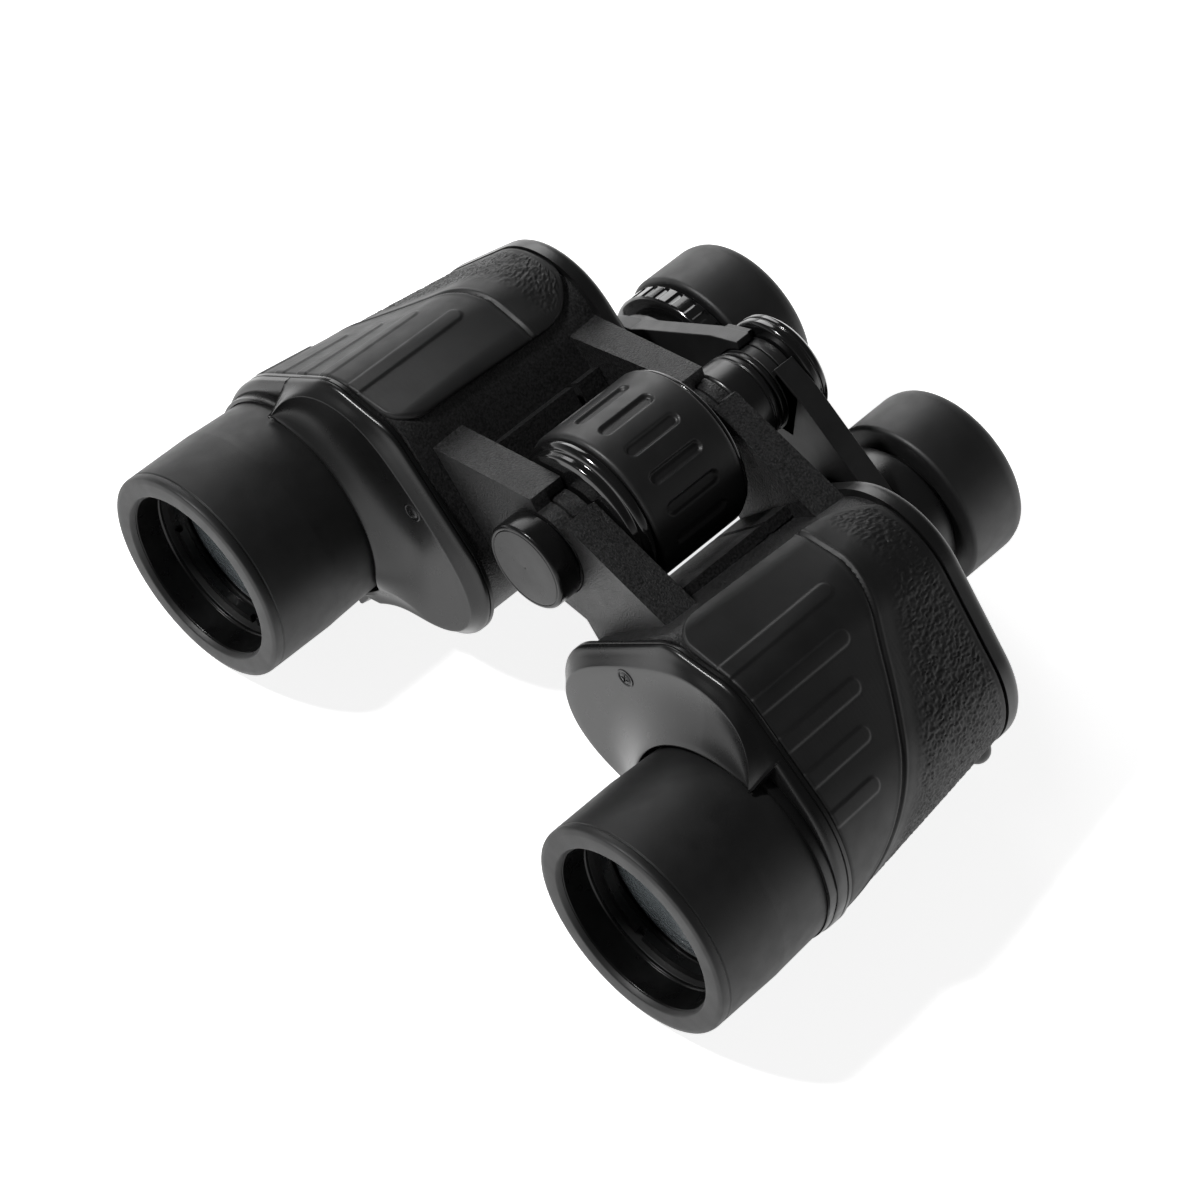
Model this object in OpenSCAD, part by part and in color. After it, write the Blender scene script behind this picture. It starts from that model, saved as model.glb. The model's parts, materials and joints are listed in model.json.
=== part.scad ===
/* [Overall] */
// Length from the objective rims to the back of the eyecups
overall_length = 141; // [138:0.5:150]

/* [Objective barrels] */
// Distance of an objective axis from the hinge axis, sideways
objective_x = 66.3; // [65:0.1:68]
// Distance of an objective axis below the hinge axis
objective_drop = 29.4; // [28:0.1:31]
// Outer radius of an objective barrel
barrel_r = 26.2; // [25:0.1:27]
// Outer radius of a barrel where it enters the front cover
barrel_neck_r = 25.4; // [24.5:0.1:25.5]
// Radius of the opening in front of an objective lens
barrel_opening_r = 20.7; // [20:0.1:21]
// Depth of the objective lens behind the rim
lens_depth = 12.3; // [11:0.1:14]

/* [Eyepieces] */
// Distance of an eyepiece axis from the hinge axis, sideways, as stored
eyepiece_x = 31.7; // [31:0.1:33]
// Distance of an eyepiece axis below the hinge axis, as stored
eyepiece_drop = 27.5; // [27:0.1:29]
// Outer radius of an eyecup
eyecup_r = 21.1; // [20.5:0.1:22]
// Distance of an eyecup's front edge behind the objective rims
eyecup_y = 123.3; // [123:0.1:125]
// Outer radius of an eyepiece tube
eyepiece_tube_r = 17; // [16.5:0.1:17.2]

/* [Housings] */
// Distance of a housing's front end behind the objective rims
housing_front = 38.7; // [38.5:0.1:39]
// Distance of a housing's rear end behind the objective rims
housing_rear = 95.5; // [95:0.1:95.8]
// Thickness of the rubber armour
armour_t = 1.8; // [1.4:0.1:2]
// Thickness of a cast housing wall
wall_t = 2.2; // [1.8:0.1:2.6]

/* [Hinge and focus] */
// Outer radius of the hollow hinge shaft
shaft_r = 7; // [6.5:0.1:7.2]
// Outer radius of a hinge knuckle
knuckle_r = 10.5; // [10:0.1:10.6]
// Outer radius of the focus wheel's grip
wheel_r = 19.7; // [19:0.1:19.8]
// Number of slots moulded round the grip
grip_slots = 16; // [14:2:18]
// Radius of the hinge cap
cap_r = 10.64; // [10:0.02:10.8]

/* [Hidden] */
$fn = 96;

// Clearances: a running fit, and a gap between pieces that are screwed together
fit = 0.05;
seam = 0.05;

// Thickness of the discs that a hull is stretched over
disc_t = 1.5;

// A section of a housing is the outline round four circles [x, z, radius]:
// the eyepiece side, the two shoulders on top, and the objective side
front_circles = [[31, -24.7, 19.3], [41.5, 5.5, 7], [56, -2, 13.3], [64.3, -27, 28.5]];
rear_circles = [[31, -24.7, 19.3], [46, -4.5, 14.5], [50.3, -8.8, 20.5], [64.5, -28, 22]];

// Prism centres [x, z], where the folded light path turns round
objective_c = [objective_x, -objective_drop];
middle_c = [49, -11.2];
eyepiece_c = [eyepiece_x, -eyepiece_drop];
plate_front = 66;
plate_rear = 68;
prism_r = 11.5;

cover_front = 34;
cover_rear = 100;
cavity_grow = -armour_t - wall_t;
light_way_r = 21.5;
arm_front = [43.1, 52.1];
arm_rear = [88.4, 95.5];
knuckle_gap = 0.3;
washer_r = 9.8;
wheel_front = 52.7;
grip_front = 57.7;
grip_rear = 84.1;
wheel_rear = 86.1;
wheel_core_r = 17.6;
rod_r = 5.4;
tube_rear = 105;
bridge_front = 107;
bridge_rear = 112.8;
bridge_mid = (bridge_front + bridge_rear) / 2;
eyecup_rear = overall_length;
ring_front = 117;
sleeve_r = 15;
screw_r = 1.9;
front_screws = [[31.9, -6.5], [38, -38]];
rear_screws = [[58, 0], [70, -38]];
tube_front = 95.6;
sleeve_front = 98;

// Puts the hinge axis over the origin, so that the barrels rest on z = 0
module whole() translate([0, -overall_length / 2, objective_drop + barrel_r]) children();

module left() whole() children();

module right() whole() mirror([1, 0, 0]) children();

// Extrudes an outline in x and z from y0 to y1
module along(y0, y1) translate([0, y1, 0]) rotate([90, 0, 0]) linear_extrude(y1 - y0) children();

// Turns an outline of [radius, y] points round an axis parallel to y
module turned(c = [0, 0]) translate([c[0], 0, c[1]]) rotate([-90, 0, 0]) rotate_extrude() children();

// A cylinder parallel to y, from y0 to y1
module rod(c, r, y0, y1) translate([c[0], y0, c[1]]) rotate([-90, 0, 0]) cylinder(r = r, h = y1 - y0);

// A ring parallel to y, from y0 to y1
module ring(c, r_out, r_in, y0, y1) difference() {
    rod(c, r_out, y0, y1);
    rod(c, r_in, y0 - 1, y1 + 1);
}

function part_way(a, b, y) = a + (b - a) * (y - housing_front) / (housing_rear - housing_front);

module thin_disc(c, grow, y) translate([c[0], y, c[1]]) rotate([-90, 0, 0])
    cylinder(r = c[2] + grow, h = disc_t, $fn = 40);

// The tapered body between y0 and y1, grown outwards by grow
module body(grow, y0, y1) hull() for (i = [0:3]) {
    thin_disc(part_way(front_circles[i], rear_circles[i], y0), grow, y0);
    thin_disc(part_way(front_circles[i], rear_circles[i], y1), grow, y1 - disc_t);
}

// ---- Housings -----------------------------------------------------------

// The straight-sided room for the prisms, and a round way in behind the objective
module room(grow, y0, y1) along(y0, y1) hull() for (c = rear_circles)
    translate([c[0], c[1]]) circle(r = c[2] + grow, $fn = 64);

module cavity() {
    room(cavity_grow, housing_front - 1, housing_rear + 1);
    rod(objective_c, light_way_r, housing_front - 1, 52);
}

module arm_outline() polygon([
    [5, 12.7], [46, 2.2], [46, -12], [30, -24], [21, -23], [12, -13], [5, -12.6]
]);

// The rear arm is thicker where it leaves the housing
module rear_arm() intersection() {
    along(86, arm_rear[1]) arm_outline();
    translate([0, 0, -40]) linear_extrude(80)
        polygon([[0, arm_rear[0]], [12, arm_rear[0]], [48, 86.2], [48, 97], [0, 97]]);
}

// Each arm carries a knuckle over half its width, and clears the other half's knuckle
module housing(knuckle_first) {
    middle = [(arm_front[0] + arm_front[1]) / 2, (arm_rear[0] + arm_rear[1]) / 2];
    own = knuckle_first
        ? [[arm_front[0], middle[0] - knuckle_gap], [arm_rear[0], middle[1] - knuckle_gap]]
        : [[middle[0] + knuckle_gap, arm_front[1]], [middle[1] + knuckle_gap, arm_rear[1]]];
    other = knuckle_first
        ? [[middle[0] - knuckle_gap, arm_front[1] + 1], [middle[1] - knuckle_gap, arm_rear[1] + 1]]
        : [[arm_front[0] - 1, middle[0] + knuckle_gap], [arm_rear[0] - 1, middle[1] + knuckle_gap]];
    bore_r = knuckle_first ? shaft_r + fit : shaft_r;
    difference() {
        union() {
            body(-armour_t, housing_front, housing_rear);
            along(arm_front[0], arm_front[1]) arm_outline();
            rear_arm();
            for (span = own) rod([0, 0], knuckle_r, span[0], span[1]);
        }
        cavity();
        for (span = other) rod([0, 0], knuckle_r + knuckle_gap, span[0], span[1]);
        rod([0, 0], bore_r, arm_front[0] - 2, arm_rear[1] + 2);
    }
}

// The skin covers the outer side and stops short of the hinge side
module armour() difference() {
    body(0, housing_front + seam, housing_rear - seam);
    body(seam - armour_t, housing_front - 2, housing_rear + 2);
    along(30, 110) polygon([[-5, 40], [38.6, 40], [38.6, 0], [44, -14], [24, -34], [27, -70], [-5, -70]]);
}

// The cover's ledge curls over the barrel, and its fin runs down beside it
module ledge() hull() {
    thin_disc([54, 0, 8], 0, cover_front);
    thin_disc([70.2, -3.2, 1.6], 0, 29.6);
    thin_disc([73, -3, 2.5], 0, cover_front);
}

module fin() hull() {
    thin_disc([40, -42, 3], 0, cover_front + 1);
    thin_disc([50.4, -54.3, 1], 0, cover_front);
    thin_disc([52, -51, 3], 0, housing_front - disc_t);
}

module front_cover() difference() {
    union() {
        hull() {
            for (c = front_circles) thin_disc(c, -0.3, housing_front - disc_t);
            for (c = front_circles) thin_disc(c, -0.6, cover_front + 2.2);
            thin_disc(front_circles[0], -0.8, cover_front);
            thin_disc([43, -1, 8], 0, cover_front);
            thin_disc([56, -4, 12], 0, cover_front);
        }
        ledge();
        fin();
    }
    rod(objective_c, barrel_r + 0.15, 20, 36);
    rod(objective_c, barrel_neck_r + seam, 20, 50);
    difference() {
        room(cavity_grow, cover_front + 2, housing_front + 1);
        bosses(front_screws, cover_front, housing_front + 2);
    }
    screw_holes(front_screws);
}

// A boss behind each screw takes its thread
module bosses(spots, y0, y1) for (c = spots) rod(c, screw_r + 1.6, y0, y1);

module screw_holes(spots) for (c = spots) rod(c, screw_r + seam, cover_front - 1, cover_rear + 1);

module rear_shell() difference() {
    hull() for (c = rear_circles) {
        thin_disc(c, 0, housing_rear + seam);
        thin_disc(c, -1.3, cover_rear - disc_t);
    }
    room(cavity_grow, housing_rear - 1, cover_rear - 2);
}

module strap_eye() difference() {
    along(housing_rear + 0.2, cover_rear - 0.4) translate([76.5, -48.5]) circle(5);
    along(housing_rear - 1, cover_rear) translate([77.1, -49.6]) circle(2.3);
}

module rear_cover() difference() {
    union() {
        rear_shell();
        strap_eye();
        rod(eyepiece_c, eyepiece_tube_r + 1.8, tube_front, 104.5);
        bosses(rear_screws, housing_rear + seam, cover_rear - 1);
    }
    rod(eyepiece_c, eyepiece_tube_r + fit, 80, 110);
    screw_holes(rear_screws);
}

// A countersunk cross-head screw, with its head towards y0
module screw(c, head_y, tip_y) {
    way = head_y < tip_y ? 1 : -1;
    difference() {
        union() {
            rod(c, screw_r, min(head_y, head_y + way * 1.6), max(head_y, head_y + way * 1.6));
            rod(c, 1.1, min(head_y + way, tip_y), max(head_y + way, tip_y));
        }
        for (turn = [0, 90]) translate([c[0], head_y, c[1]]) rotate([0, turn, 0])
            cube([2.4, 1.4, 0.5], center = true);
    }
}

module cover_screws() {
    for (c = front_screws) screw(c, cover_front + 0.1, housing_front - 0.2);
    for (c = rear_screws) screw(c, cover_rear - 0.2, housing_rear + 0.3);
}

// ---- Objectives ---------------------------------------------------------

module barrel() turned(objective_c) polygon([
    [barrel_opening_r, 1.2], [barrel_opening_r + 0.8, 0], [barrel_r - 1.5, 0], [barrel_r - 0.4, 0.4],
    [barrel_r, 1.5], [barrel_r, 20], [barrel_neck_r, 33], [barrel_neck_r, 38.4],
    [barrel_neck_r - 2, 38.4], [barrel_neck_r - 2, 20], [18.6, 20], [18.6, 18.4],
    [barrel_opening_r, 18.4]
]);

module retaining_ring() difference() {
    ring(objective_c, barrel_opening_r - seam, 18.4, lens_depth - 2.2, lens_depth - 0.1);
    for (turn = [0, 90]) translate([objective_c[0], lens_depth - 2.2, objective_c[1]])
        rotate([0, turn + 20, 0]) cube([60, 2.2, 2], center = true);
}

// A cemented pair, curved outwards in front and nearly flat behind
module objective_lens() intersection() {
    rod(objective_c, barrel_opening_r - 0.1, lens_depth, 18.3);
    translate([objective_c[0], lens_depth + 90, objective_c[1]]) sphere(r = 90, $fn = 400);
}

// ---- Prisms -------------------------------------------------------------

module prism_plate() difference() {
    room(cavity_grow - seam, plate_front, plate_rear);
    for (c = [objective_c, middle_c, eyepiece_c]) rod(c, prism_r - 1.5, plate_front - 1, plate_rear + 1);
}

// A right-angle prism over two windows, with its long face on the plate
module prism(a, b, face_y, way) {
    turn = atan2(b[1] - a[1], b[0] - a[0]);
    half = norm(b - a) / 2 + prism_r;
    translate([(a[0] + b[0]) / 2, face_y, (a[1] + b[1]) / 2]) rotate([0, -turn, 0]) intersection() {
        translate([0, 0, -prism_r]) linear_extrude(2 * prism_r) polygon([
            [-half, 0], [-half, way * 0.6], [-1.5, way * (half - 0.9)], [1.5, way * (half - 0.9)],
            [half, way * 0.6], [half, 0]
        ]);
        translate([0, way * 12, 0]) rotate([90, 0, 0]) cylinder(r = half, h = 26, center = true);
    }
}

module front_prism() prism(middle_c, eyepiece_c, plate_front - 0.1, -1);

module rear_prism() prism(objective_c, middle_c, plate_rear + 0.1, 1);

// A bent spring strap over each prism, screwed to the plate at its foot
module clip(a, b, face_y, way) {
    turn = atan2(b[1] - a[1], b[0] - a[0]);
    reach = norm(b - a) / 2 + prism_r - 0.5;
    translate([(a[0] + b[0]) / 2, face_y, (a[1] + b[1]) / 2]) rotate([0, -turn, 0])
        translate([0, way * reach, 0]) cube([7, 0.6, 2 * prism_r + 3], center = true);
}

module prism_clips() {
    clip(middle_c, eyepiece_c, plate_front - 0.1, -1);
    clip(objective_c, middle_c, plate_rear + 0.1, 1);
}

// ---- Eyepieces ----------------------------------------------------------

// A flat bar from the hub to the eyepiece, with a lug at one end and a clamp ring at the other
module bridge_arm(lug_y0, lug_y1) difference() {
    union() {
        along(bridge_front, bridge_rear)
            polygon([[5.5, 12.4], [34, -7], [46, -16], [18, -40], [13, -20], [5.5, -9]]);
        rod([0, 0], 10, lug_y0, lug_y1);
        rod(eyepiece_c, eyepiece_tube_r + 2, bridge_front, bridge_rear);
    }
    rod(eyepiece_c, eyepiece_tube_r, bridge_front - 1, bridge_rear + 1);
    rod([0, 0], shaft_r + fit, bridge_front - 1, bridge_rear + 1);
    rod([0, 0], 10.3, bridge_front - 1, lug_y0);
    rod([0, 0], 10.3, lug_y1, bridge_rear + 1);
}

module left_eyepiece_tube() turned(eyepiece_c) polygon([
    [sleeve_r - 1.6, tube_front], [eyepiece_tube_r, tube_front], [eyepiece_tube_r, eyecup_y],
    [sleeve_r, eyecup_y], [sleeve_r, 133], [8.2, 133], [8.2, 130], [sleeve_r - 1.6, 130]
]);

// The right tube is the dioptre carrier: the ocular sleeve screws in and out of it
module right_eyepiece_tube() ring(eyepiece_c, eyepiece_tube_r, sleeve_r + fit, tube_front, 114.6);

module ocular_sleeve() turned(eyepiece_c) polygon([
    [sleeve_r - 1.6, sleeve_front], [sleeve_r, sleeve_front], [sleeve_r, 133], [8.2, 133],
    [8.2, 130], [sleeve_r - 1.6, 130]
]);

module dioptre() difference() {
    ring(eyepiece_c, 20, sleeve_r + fit, ring_front, eyecup_y - 0.3);
    for (i = [0:29]) translate([eyepiece_c[0], 0, eyepiece_c[1]]) rotate([0, i * 12, 0])
        translate([20, 120, 0]) cube([1.2, 4.2, 1.6], center = true);
}

module field_lens() intersection() {
    rod(eyepiece_c, sleeve_r - 1.7, 98.5, 103.5);
    translate([eyepiece_c[0], 98.5 + 40, eyepiece_c[1]]) sphere(r = 40);
}

module eye_lens() intersection() {
    rod(eyepiece_c, 8.1, 130, 133.4);
    translate([eyepiece_c[0], 133.4 - 30, eyepiece_c[1]]) sphere(r = 30);
}

module eyecup() turned(eyepiece_c) polygon([
    [sleeve_r, eyecup_y], [eyecup_r - 0.6, eyecup_y], [eyecup_r, eyecup_y + 0.6],
    [eyecup_r, eyecup_rear - 2.5], [eyecup_r - 0.8, eyecup_rear - 0.8], [eyecup_r - 2.3, eyecup_rear],
    [18, eyecup_rear - 0.6], [17.3, eyecup_rear - 1.8], [16.2, 133.5], [sleeve_r, 133.5]
]);

// ---- Hinge and focus ----------------------------------------------------

// Hollow, slotted where the drive pin passes, and plugged in front by the cap's thread
module shaft() difference() {
    rod([0, 0], shaft_r, 42.9, 98);
    rod([0, 0], rod_r + fit, 54, 99);
    rod([0, 0], 3, 40, 52.2);
    translate([0, 73.5, 0]) cube([3.2, 16, 30], center = true);
}

module washers() for (y = [(arm_front[0] + arm_front[1]) / 2, (arm_rear[0] + arm_rear[1]) / 2])
    ring([0, 0], washer_r, shaft_r + fit, y - knuckle_gap + seam, y + knuckle_gap - seam);

module cap() {
    turned() polygon([
        [0, 36.4], [cap_r - 0.4, 36.4], [cap_r, 36.8],
        [cap_r, 42.4], [cap_r - 0.5, 42.8], [0, 42.8]
    ]);
    rod([0, 0], 3 - fit, 42.5, 50);
}

// The core has a channel for the drive pin's helical thread
module wheel() turned() polygon([
    [shaft_r + fit, wheel_front], [15.6, wheel_front], [17.3, 53.3], [17.8, 54.4], [17.3, 55.2],
    [18.6, 55.6], [18.9, 56.6], [18.4, grip_front - 0.1], [wheel_core_r, grip_front - 0.1],
    [wheel_core_r, grip_rear + 0.1], [19.1, grip_rear + 0.1], [18.8, 85.2], [17, wheel_rear],
    [shaft_r + fit, wheel_rear], [shaft_r + fit, 83], [12, 83], [12, 64], [shaft_r + fit, 64]
]);

module slot_cutter() {
    translate([0, 64, 0]) cylinder(r = 1.7, h = 3);
    translate([0, 76, 0]) cylinder(r = 1.7, h = 3);
    translate([-1.7, 64, 0]) cube([3.4, 12, 3]);
}

module wheel_grip() difference() {
    turned() polygon([
        [wheel_core_r + 0.02, grip_front], [wheel_r - 0.8, grip_front], [wheel_r, grip_front + 1],
        [wheel_r, grip_rear - 1], [wheel_r - 0.8, grip_rear], [wheel_core_r + 0.02, grip_rear]
    ]);
    for (i = [0:grip_slots - 1]) rotate([0, 13.2 + i * 360 / grip_slots, 0])
        translate([0, 0, wheel_r - 0.7]) slot_cutter();
}

// The rod slides in the shaft and carries the bridge hub
module sliding_rod() difference() {
    rod([0, 0], rod_r, 64, 109);
    translate([0, 70, 0]) cylinder(r = 1.5, h = 30, center = true);
}

module drive_pin() translate([0, 70, 0]) cylinder(r = 1.5, h = 22, center = true, $fn = 48);

// Pressed over the end of the shaft
module guide_tube() turned() polygon([
    [shaft_r, 95.7], [10.2, 95.7], [10.6, 96.1], [10.6, tube_rear - 0.4], [10.2, tube_rear],
    [rod_r + fit, tube_rear], [rod_r + fit, 98.1], [shaft_r, 98.1]
]);

module hub() difference() {
    union() {
        rod([0, 0], 10.2, tube_rear + 0.3, bridge_front - 0.2);
        rod([0, 0], shaft_r, bridge_front - 0.5, 114);
    }
    rod([0, 0], rod_r, tube_rear, 109);
}

module hub_cap() turned() polygon([
    [0, 114], [shaft_r, 114], [shaft_r, 113.1], [12.9, 113.1], [13.4, 113.6], [13.4, 116.6], [12.6, 117.4],
    [0, 118.2]
]);

color("#2b2c2e") left() housing(false);  // left_housing
color("#1c1d1f") left() front_cover();  // left_front_cover
color("#222324") left() rear_cover();  // left_rear_cover
color("#18191a") left() armour();  // left_armour
color("#3a3b3d") left() cover_screws();  // left_cover_screws
color("#1f2021") left() barrel();  // left_objective_barrel
color("#101112") left() retaining_ring();  // left_retaining_ring
color("#9fb4b8") left() objective_lens();  // left_objective_lens
color("#55575a") left() prism_plate();  // left_prism_plate
color("#cfe3e6") left() front_prism();  // left_front_prism
color("#cfe3e6") left() rear_prism();  // left_rear_prism
color("#8d9094") left() prism_clips();  // left_prism_clips
color("#232426") left() bridge_arm(bridge_front, bridge_mid - 0.15);  // left_bridge_arm
color("#2b2c2e") left() left_eyepiece_tube();
color("#9fb4b8") left() field_lens();  // left_field_lens
color("#9fb4b8") left() eye_lens();  // left_eye_lens
color("#191a1b") left() eyecup();  // left_eyecup
color("#2b2c2e") right() housing(true);  // right_housing
color("#1c1d1f") right() front_cover();  // right_front_cover
color("#222324") right() rear_cover();  // right_rear_cover
color("#18191a") right() armour();  // right_armour
color("#3a3b3d") right() cover_screws();  // right_cover_screws
color("#1f2021") right() barrel();  // right_objective_barrel
color("#101112") right() retaining_ring();  // right_retaining_ring
color("#9fb4b8") right() objective_lens();  // right_objective_lens
color("#55575a") right() prism_plate();  // right_prism_plate
color("#cfe3e6") right() front_prism();  // right_front_prism
color("#cfe3e6") right() rear_prism();  // right_rear_prism
color("#8d9094") right() prism_clips();  // right_prism_clips
color("#232426") right() bridge_arm(bridge_mid + 0.15, bridge_rear);  // right_bridge_arm
color("#2b2c2e") right() right_eyepiece_tube();
color("#2b2c2e") right() ocular_sleeve();  // right_ocular_sleeve
color("#202122") right() dioptre();  // dioptre_ring
color("#9fb4b8") right() field_lens();  // right_field_lens
color("#9fb4b8") right() eye_lens();  // right_eye_lens
color("#191a1b") right() eyecup();  // right_eyecup
color("#7c7f83") left() shaft();  // hinge_shaft
color("#a9905a") left() washers();  // hinge_washers
color("#141516") left() cap();  // hinge_cap
color("#131415") left() wheel();  // focus_wheel
color("#242526") left() wheel_grip();  // focus_wheel_grip
color("#7c7f83") left() sliding_rod();  // focus_rod
color("#8d9094") left() drive_pin();  // focus_drive_pin
color("#232426") left() guide_tube();  // focus_guide_tube
color("#232426") left() hub();  // bridge_hub
color("#1a1b1c") left() hub_cap();  // bridge_hub_cap
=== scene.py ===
import json
import math

import bmesh
import bpy
import numpy as np
from mathutils import Matrix, Vector, noise


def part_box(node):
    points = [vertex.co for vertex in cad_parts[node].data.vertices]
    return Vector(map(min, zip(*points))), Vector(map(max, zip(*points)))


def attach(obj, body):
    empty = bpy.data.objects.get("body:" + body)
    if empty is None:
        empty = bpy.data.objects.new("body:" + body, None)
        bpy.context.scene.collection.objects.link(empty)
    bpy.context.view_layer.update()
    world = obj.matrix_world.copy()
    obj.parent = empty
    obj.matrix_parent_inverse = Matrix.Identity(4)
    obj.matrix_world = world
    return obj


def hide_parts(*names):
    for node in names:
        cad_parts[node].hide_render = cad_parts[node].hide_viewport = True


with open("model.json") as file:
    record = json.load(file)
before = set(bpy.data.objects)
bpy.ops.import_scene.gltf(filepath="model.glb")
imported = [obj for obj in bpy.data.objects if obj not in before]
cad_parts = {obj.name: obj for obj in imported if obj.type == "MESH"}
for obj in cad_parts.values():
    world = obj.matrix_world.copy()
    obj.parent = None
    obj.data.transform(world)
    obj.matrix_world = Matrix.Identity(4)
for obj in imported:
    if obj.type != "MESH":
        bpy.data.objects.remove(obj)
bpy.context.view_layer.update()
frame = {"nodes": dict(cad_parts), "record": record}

# Porro-prism binoculars. Shapes are written in millimetres from the hinge axis
# (x sideways, z up) and from the objective rims (y backwards), as in the CAD,
# and the left half is drawn on the +X side and mirrored for the right.

MM = 0.001
RIM_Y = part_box("left_objective_barrel")[0].y
CAP_LOW, CAP_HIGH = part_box("hinge_cap")
HINGE_Z = (CAP_LOW.z + CAP_HIGH.z) / 2


def middle(node):
    """Centre [x, z] and radius of a round CAD node, in millimetres."""
    low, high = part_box(node)
    centre = ((low.x + high.x) / 2 / MM, ((low.z + high.z) / 2 - HINGE_Z) / MM)
    return centre, (high.x - low.x) / 2 / MM


def depth_of(node):
    """Front and rear of a CAD node behind the objective rims, in millimetres."""
    low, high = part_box(node)
    return (low.y - RIM_Y) / MM, (high.y - RIM_Y) / MM


OBJECTIVE = middle("left_objective_barrel")[0]
EYEPIECE = middle("left_eyecup")[0]
CAP_R = middle("hinge_cap")[1]
GRIP_R = middle("focus_wheel_grip")[1]
GUIDE_R = middle("focus_guide_tube")[1]
LENS_R = middle("left_objective_lens")[1]
LENS_FRONT, LENS_REAR = depth_of("left_objective_lens")
EYECUP_FRONT = depth_of("left_eyecup")[0]
GRIP_FRONT, GRIP_REAR = depth_of("focus_wheel_grip")
WHEEL_FRONT = depth_of("focus_wheel")[0]
BRIDGE_FRONT, BRIDGE_REAR = depth_of("left_bridge_arm")

# A housing's section is the outline round four circles [x, z, radius]
FRONT_CIRCLES = np.array([[31, -24.7, 19.3], [41.5, 5.5, 7], [56, -2, 13.3], [64.3, -27, 28.5]])
REAR_CIRCLES = np.array([[31, -24.7, 19.3], [46, -4.5, 14.5], [50.3, -8.8, 20.5], [64.5, -28, 22]])
HOUSING_FRONT = 38.7
HOUSING_REAR = 95.5
COVER_FACE = 34.0
COVER_REAR = 100.0
SECTION_CENTRE = np.array([50.0, -18.0])
ARMOUR_T = 1.8
FULL_TURN = 2 * math.pi

# Points closer than this are one, and edges sharper than this get a bevel
WELD = 0.002
BEVEL_ANGLE = math.radians(40)

# A turned solid starts this near its axis
AXIS_R = 0.05


# ---- Mesh helpers --------------------------------------------------------

class Shape:
    """Points and faces of one piece, in millimetres."""

    def __init__(self):
        self.points = []
        self.faces = []
        self.count = 0

    def add_points(self, points):
        points = np.asarray(points, float).reshape(-1, 3)
        start = self.count
        self.points.append(points)
        self.count += len(points)
        return start

    def grid(self, rows, close_rows=False, close_columns=False):
        """Faces between neighbouring points of rows, an array of [row][column][x, y, z]."""
        rows = np.asarray(rows, float)
        n, m = rows.shape[:2]
        start = self.add_points(rows)
        index = np.arange(n * m).reshape(n, m) + start
        if close_rows:
            index = np.vstack([index, index[:1]])
        if close_columns:
            index = np.hstack([index, index[:, :1]])
        quads = np.stack([index[:-1, :-1], index[:-1, 1:], index[1:, 1:], index[1:, :-1]], -1)
        self.faces.extend(quads.reshape(-1, 4).tolist())

    def disc(self, ring, centre):
        """A fan that closes a ring of points at a centre."""
        ring = np.asarray(ring, float)
        start = self.add_points(np.vstack([ring, [centre]]))
        n = len(ring)
        self.faces.extend([start + i, start + (i + 1) % n, start + n] for i in range(n))

    def face(self, ring):
        """One flat face round a ring of points."""
        start = self.add_points(ring)
        self.faces.append(list(range(start, start + len(ring))))


def bend(start, corner, stop, t):
    """A point on the curve from start to stop that leans towards a corner."""
    return (1 - t) ** 2 * start + 2 * t * (1 - t) * corner + t * t * stop


def rounded(corners, radius, steps=4):
    """Replaces each corner of a closed 2-D outline by a short curve."""
    corners = [np.array(c, float) for c in corners]
    n = len(corners)
    out = []
    for i, corner in enumerate(corners):
        before = corners[i - 1] - corner
        after = corners[(i + 1) % n] - corner
        a, b = np.linalg.norm(before), np.linalg.norm(after)
        cut = min(radius, 0.45 * a, 0.45 * b)
        start = corner + before / a * cut
        stop = corner + after / b * cut
        out += [bend(start, corner, stop, t) for t in np.linspace(0, 1, steps + 1)]
    return np.array(out)


def turned(shape, profile, centre=(0, 0), count=160):
    """Turns a closed profile of [radius, y] round an axis parallel to y."""
    profile = np.asarray(profile, float)
    turn = np.linspace(0, FULL_TURN, count, endpoint=False)
    r, y = profile[:, :1], profile[:, 1:]
    rows = np.stack([
        centre[0] + r * np.cos(turn), y + 0 * turn, centre[1] + r * np.sin(turn)
    ], -1)
    shape.grid(rows, close_rows=True, close_columns=True)


def plain_ring(shape, bore_r, outer_r, front, rear, **more):
    """A plain ring between two depths."""
    turned(shape, [(bore_r, front), (outer_r, front), (outer_r, rear), (bore_r, rear)], **more)


def bar(shape, outline, front, rear):
    """A flat bar over an outline in x and z, between two depths."""
    outline = np.asarray(outline, float)
    ends = []
    for depth in (front, rear):
        y = np.full(len(outline), float(depth))
        ends.append(np.stack([outline[:, 0], y, outline[:, 1]], -1))
    shape.grid(np.array(ends), close_columns=True)
    shape.face(ends[0])
    shape.face(ends[1][::-1])


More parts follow.
